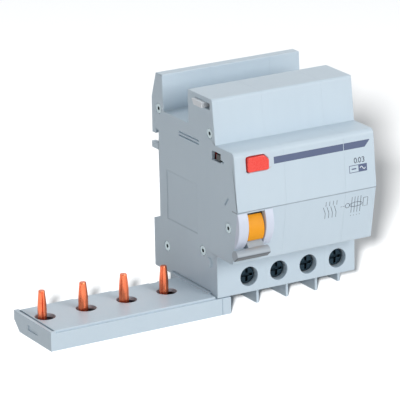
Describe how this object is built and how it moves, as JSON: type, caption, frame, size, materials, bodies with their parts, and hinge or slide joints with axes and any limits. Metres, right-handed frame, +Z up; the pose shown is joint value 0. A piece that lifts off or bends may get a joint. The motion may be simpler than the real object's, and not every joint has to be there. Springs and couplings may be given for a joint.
{
  "type": "residual current device",
  "caption": "Add-on earth-leakage block for a modular breaker: riveted casing with test button, reset lever and clamping terminals, and a side wing with copper prongs.",
  "frame": {"origin": "on the rail seat, at mid width of the block, on the rail's centre line", "axes": "+X to the right along the rail, +Y back into the rail, +Z up"},
  "size_m": [0.136, 0.0683, 0.0877],
  "materials": {
    "casing": "satin moulded",
    "rivet_metal": "zinc plated",
    "copper": "bare copper",
    "contact_brass": "satin",
    "red_plastic": "satin moulded",
    "orange_plastic": "satin moulded",
    "grey_plastic": "satin moulded",
    "white_plastic": "satin moulded",
    "black_plastic": "satin moulded",
    "resistor_body": "lacquered",
    "red_sleeve": "insulation",
    "sleeve_1": "insulation",
    "sleeve_2": "insulation",
    "sleeve_3": "insulation",
    "sleeve_4": "insulation"
  },
  "bodies": {
    "block": {"left_shell": "casing", "middle_shell": "casing", "right_shell": "casing", "rivets": "rivet_metal", "wing_tray": "casing", "wing_cover": "casing", "prong_1": "copper", "prong_2": "copper", "prong_3": "copper", "prong_4": "copper", "lead_1": "sleeve_1", "lead_2": "sleeve_2", "lead_3": "sleeve_3", "lead_4": "sleeve_4", "contact_plate_1": "copper", "contact_plate_2": "copper", "contact_plate_3": "copper", "contact_plate_4": "copper", "sensor_core": "rivet_metal", "sensor_winding": "copper", "sensor_case": "black_plastic", "sensor_lid": "black_plastic", "relay_case": "white_plastic", "relay_lid": "white_plastic", "relay_coil": "copper", "relay_yoke": "rivet_metal", "relay_wires": "contact_brass", "test_spring": "rivet_metal", "test_contacts": "contact_brass", "test_resistor": "resistor_body", "test_wires": "red_sleeve", "lever_spring": "rivet_metal", "mechanism_plate": "rivet_metal", "link_spring": "rivet_metal", "latch_spring": "rivet_metal", "clip_spring": "rivet_metal"},
    "test_button": {"test_button": "red_plastic", "test_bridge": "contact_brass"},
    "reset_lever": {"reset_lever": "grey_plastic", "trip_flag": "orange_plastic"},
    "trip_link": {"trip_link": "black_plastic"},
    "relay_plunger": {"relay_plunger": "rivet_metal"},
    "coupling_latch": {"coupling_latch": "white_plastic"},
    "rail_clip": {"rail_clip": "black_plastic"},
    "terminal_screw_1": {"terminal_screw_1": "rivet_metal"},
    "clamp_cage_1": {"clamp_cage_1": "rivet_metal"},
    "terminal_screw_2": {"terminal_screw_2": "rivet_metal"},
    "clamp_cage_2": {"clamp_cage_2": "rivet_metal"},
    "terminal_screw_3": {"terminal_screw_3": "rivet_metal"},
    "clamp_cage_3": {"clamp_cage_3": "rivet_metal"},
    "terminal_screw_4": {"terminal_screw_4": "rivet_metal"},
    "clamp_cage_4": {"clamp_cage_4": "rivet_metal"}
  },
  "joints": [
    {"name": "test_button_press", "type": "slide", "parent": "block", "child": "test_button", "axis": [0, 1, 0], "range_m": [0, 0.0015], "stiffness_N_per_m": 1000, "springref_m": -0.001, "deforming": ["test_spring"]},
    {"name": "reset_lever_turn", "type": "hinge", "parent": "block", "child": "reset_lever", "pos_m": [-0.02325, -0.05291, -0.0084], "axis": [-1, 0, 0], "range_deg": [0, 80]},
    {"name": "trip_link_slide", "type": "slide", "parent": "block", "child": "trip_link", "axis": [0, 1, 0], "range_m": [0, 0.002], "deforming": ["link_spring"]},
    {"name": "relay_plunger_slide", "type": "slide", "parent": "block", "child": "relay_plunger", "axis": [1, 0, 0], "range_m": [0, 0.0012]},
    {"name": "coupling_latch_press", "type": "slide", "parent": "block", "child": "coupling_latch", "axis": [1, 0, 0], "range_m": [0, 0.0012], "stiffness_N_per_m": 500, "springref_m": -0.001, "deforming": ["latch_spring"]},
    {"name": "rail_clip_pull", "type": "slide", "parent": "block", "child": "rail_clip", "axis": [0, 0, -1], "range_m": [0, 0.004], "stiffness_N_per_m": 1500, "springref_m": -0.002, "deforming": ["clip_spring"]},
    {"name": "terminal_screw_1_turn", "type": "hinge", "parent": "block", "child": "terminal_screw_1", "pos_m": [-0.01715, -0.039, -0.033], "axis": [0, 1, 0], "range_deg": [0, 3240]},
    {"name": "clamp_cage_1_slide", "type": "slide", "parent": "block", "child": "clamp_cage_1", "axis": [0, -1, 0], "range_m": [0, 0.0072]},
    {"name": "terminal_screw_2_turn", "type": "hinge", "parent": "block", "child": "terminal_screw_2", "pos_m": [-0.00365, -0.039, -0.033], "axis": [0, 1, 0], "range_deg": [0, 3240]},
    {"name": "clamp_cage_2_slide", "type": "slide", "parent": "block", "child": "clamp_cage_2", "axis": [0, -1, 0], "range_m": [0, 0.0072]},
    {"name": "terminal_screw_3_turn", "type": "hinge", "parent": "block", "child": "terminal_screw_3", "pos_m": [0.00985, -0.039, -0.033], "axis": [0, 1, 0], "range_deg": [0, 3240]},
    {"name": "clamp_cage_3_slide", "type": "slide", "parent": "block", "child": "clamp_cage_3", "axis": [0, -1, 0], "range_m": [0, 0.0072]},
    {"name": "terminal_screw_4_turn", "type": "hinge", "parent": "block", "child": "terminal_screw_4", "pos_m": [0.02335, -0.039, -0.033], "axis": [0, 1, 0], "range_deg": [0, 3240]},
    {"name": "clamp_cage_4_slide", "type": "slide", "parent": "block", "child": "clamp_cage_4", "axis": [0, -1, 0], "range_m": [0, 0.0072]}
  ],
  "couplings": [
    {"joint": "trip_link_slide", "follows": "reset_lever_turn", "m_per_rad": 0.0014324},
    {"joint": "relay_plunger_slide", "follows": "reset_lever_turn", "m_per_rad": 0.00085944},
    {"joint": "terminal_screw_1_turn", "follows": "clamp_cage_1_slide", "rad_per_m": 7854},
    {"joint": "terminal_screw_2_turn", "follows": "clamp_cage_2_slide", "rad_per_m": 7854},
    {"joint": "terminal_screw_3_turn", "follows": "clamp_cage_3_slide", "rad_per_m": 7854},
    {"joint": "terminal_screw_4_turn", "follows": "clamp_cage_4_slide", "rad_per_m": 7854}
  ]
}
